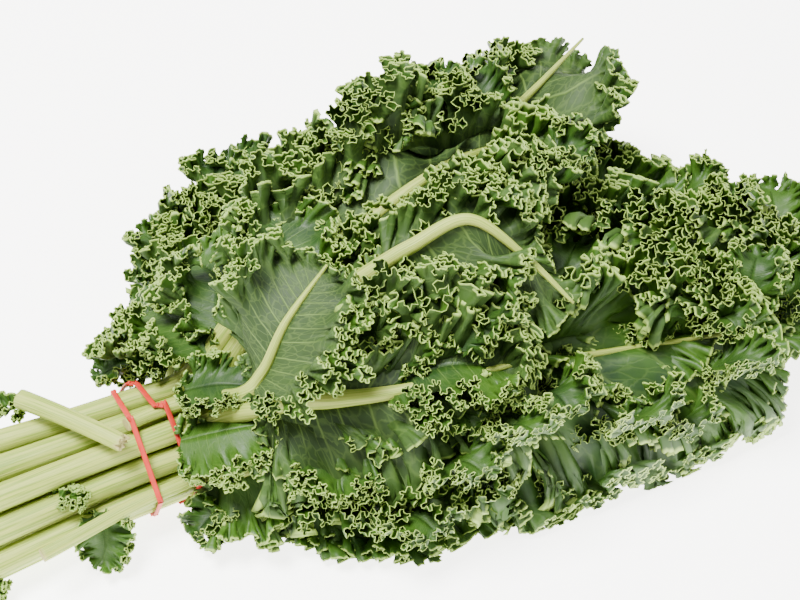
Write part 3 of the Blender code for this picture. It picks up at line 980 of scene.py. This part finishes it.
def add_leaf(skin, stem, order, name, radius, share, route):
    """One leaf: its blade, its inner ruffs, the lobes that stand on it, and its stalk."""
    look = Look(*LOOKS[name])
    follows = None if name in FREE else share
    lies = RIGHT_LIES.get(name, RIGHT_LIES_ELSE)
    seed = 100 * order + 7
    blade = Blade(route, FOOT, look.half, look.curl, look.roll, seed, follows, look.sink,
                  TILT.get(name, 0.0), EARLY.get(name, 0.0), lies)
    add_blade(name + "_blade", blade, look.columns, LEAF_ROUND, True, look.face, look.tone,
              skin, name)
    for k, (half, stretch) in enumerate(look.ruffs):
        ruff = Blade(route, FOOT, half, RUFF_CURL, look.roll, seed + 17 * k + 5, follows,
                     look.sink + RUFF_SINK, lies=lies)
        columns = COLUMN_STEP * round(RUFF_DENSITY * (stretch[1] - stretch[0]) * ruff.span)
        add_blade(f"{name}_ruff_{k}", ruff, columns, stretch, False, look.face, look.tone + 0.1,
                  skin, name)
    for k, (path, half, roll, curl) in enumerate(lobe_paths(blade, name, seed)):
        lobe = Blade(path, 0, half, curl, roll, seed + 41 * k + 3)
        tone = look.tone + 0.15 * math.sin(k * 2.4)
        add_blade(f"{name}_lobe_{k}", lobe, LOBE_COLUMNS, LOBE_ROUND, True, 1, tone, skin, name)
    line, size = stalk_line(radius, route, look.face, look.sink)
    shape = tube(line, size, STALK_SIDES, stalk_ridges(order))
    add_stalk(name + "_stalk", shape, order / 20.0, stem, name)


class KALE_OT_leaves(bpy.types.Operator):
    """Make every leaf's frilled blade and its stalk, in place of the plain solids."""

    bl_idname = "kale.leaves"
    bl_label = "Leaves"

    def execute(self, context):
        skin = leaf_material(context.scene.kale_colours)
        stem = stalk_material(context.scene.kale_colours)
        for order, leaf in enumerate(routes()):
            add_leaf(skin, stem, order, *leaf)
        return {"FINISHED"}


class KALE_OT_leaflets(bpy.types.Operator):
    """Make the small leaflets that grow on the stalks."""

    bl_idname = "kale.leaflets"
    bl_label = "Leaflets"

    def execute(self, context):
        skin = leaf_material(context.scene.kale_colours)
        for k, (name, route, half, roll, curl, face, tone) in enumerate(LEAFLETS):
            blade = Blade(np.array(route, float), 0, half, curl, roll, 5000 + 37 * k)
            columns = COLUMN_STEP * round(12 + half * 0.5) if half > 15 else LEAFLET_COLUMNS
            add_blade(f"leaflet_{k}", blade, columns, LOBE_ROUND, True, face, tone, skin, name)
        return {"FINISHED"}


class KALE_OT_band(bpy.types.Operator):
    """Make the flat rubber band."""

    bl_idname = "kale.band"
    bl_label = "Rubber band"

    def execute(self, context):
        sizes = context.scene.kale_sizes
        item = add_mesh("rubber_band_loop", *band_loop(sizes.band_width / MM, sizes.band_depth / MM))
        finish_piece(item, band_material(context.scene.kale_colours), ["rubber_band"])
        return {"FINISHED"}


class KALE_OT_cut_stalk(bpy.types.Operator):
    """Make the short cut stalk that lies across the bundle."""

    bl_idname = "kale.cut_stalk"
    bl_label = "Cut stalk"

    def execute(self, context):
        shape = cut_piece(context.scene.kale_sizes.cut_radius / MM)
        add_stalk("cut_stalk_piece", shape, 0.35, stalk_material(context.scene.kale_colours),
                  "cut_stalk")
        return {"FINISHED"}


class KALE_OT_stage(bpy.types.Operator):
    """Make the floor, the soft lights and the camera."""

    bl_idname = "kale.stage"
    bl_label = "Stage"

    def execute(self, context):
        mesh = bpy.data.meshes.new("floor")
        mesh.from_pydata([(-4, -4, 0), (4, -4, 0), (4, 4, 0), (-4, 4, 0)], [], [(0, 1, 2, 3)])
        floor = bpy.data.objects.new("floor", mesh)
        context.scene.collection.objects.link(floor)
        mesh.materials.append(floor_material(context.scene.kale_colours))
        world = bpy.data.worlds.new("studio")
        context.scene.world = world
        world.use_nodes = True
        sky = world.node_tree.nodes["Background"]
        sky.inputs["Color"].default_value = (1.0, 1.0, 1.0, 1.0)
        sky.inputs["Strength"].default_value = WORLD_STRENGTH
        for light in LIGHTS:
            add_light(*light)
        add_camera(context)
        return {"FINISHED"}


def add_light(name, place, width, power):
    """A square soft light that faces the bunch."""
    data = bpy.data.lights.new(name, "AREA")
    data.size = width
    data.energy = power
    item = bpy.data.objects.new(name, data)
    item.location = place
    aim = Vector((0.0, 0.0, 0.05)) - item.location
    item.rotation_euler = aim.to_track_quat("-Z", "Y").to_euler()
    bpy.context.scene.collection.objects.link(item)


def add_camera(context):
    """The camera at the right of the cut ends, looking down on the bunch."""
    data = bpy.data.cameras.new("camera")
    data.lens = CAMERA_LENS
    item = bpy.data.objects.new("camera", data)
    a = math.radians(CAMERA_AZIMUTH)
    e = math.radians(CAMERA_HEIGHT)
    away = Vector((math.sin(a) * math.cos(e), -math.cos(a) * math.cos(e), math.sin(e)))
    aim = Vector(CAMERA_AIM)
    item.location = aim + away * CAMERA_DISTANCE
    item.rotation_euler = (-away).to_track_quat("-Z", "Y").to_euler()
    context.scene.collection.objects.link(item)
    context.scene.camera = item


class KALE_PT_panel(bpy.types.Panel):
    """Lists the parts of the bunch, its sizes and its colours."""

    bl_label = "Kale Bunch"
    bl_idname = "KALE_PT_panel"
    bl_space_type = "VIEW_3D"
    bl_region_type = "UI"
    bl_category = "Kale"

    def draw(self, context):
        for step in STEPS:
            self.layout.operator(step.bl_idname)
        for key in KaleSizes.__annotations__:
            self.layout.prop(context.scene.kale_sizes, key)
        for key in KaleColours.__annotations__:
            self.layout.prop(context.scene.kale_colours, key)


STEPS = (KALE_OT_leaves, KALE_OT_leaflets, KALE_OT_band, KALE_OT_cut_stalk, KALE_OT_stage)
CLASSES = (KaleSizes, KaleColours, *STEPS, KALE_PT_panel)


def register():
    """Add the classes and the scene's settings."""
    for item in CLASSES:
        bpy.utils.register_class(item)
    bpy.types.Scene.kale_sizes = bpy.props.PointerProperty(type=KaleSizes)
    bpy.types.Scene.kale_colours = bpy.props.PointerProperty(type=KaleColours)


def unregister():
    """Remove the settings and the classes."""
    del bpy.types.Scene.kale_colours
    del bpy.types.Scene.kale_sizes
    for item in reversed(CLASSES):
        bpy.utils.unregister_class(item)


def main():
    """Make the whole bunch and its stage."""
    register()
    bpy.ops.kale.leaves()
    bpy.ops.kale.leaflets()
    bpy.ops.kale.band()
    bpy.ops.kale.cut_stalk()
    bpy.ops.kale.stage()
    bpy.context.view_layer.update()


if __name__ == "__main__":
    main()
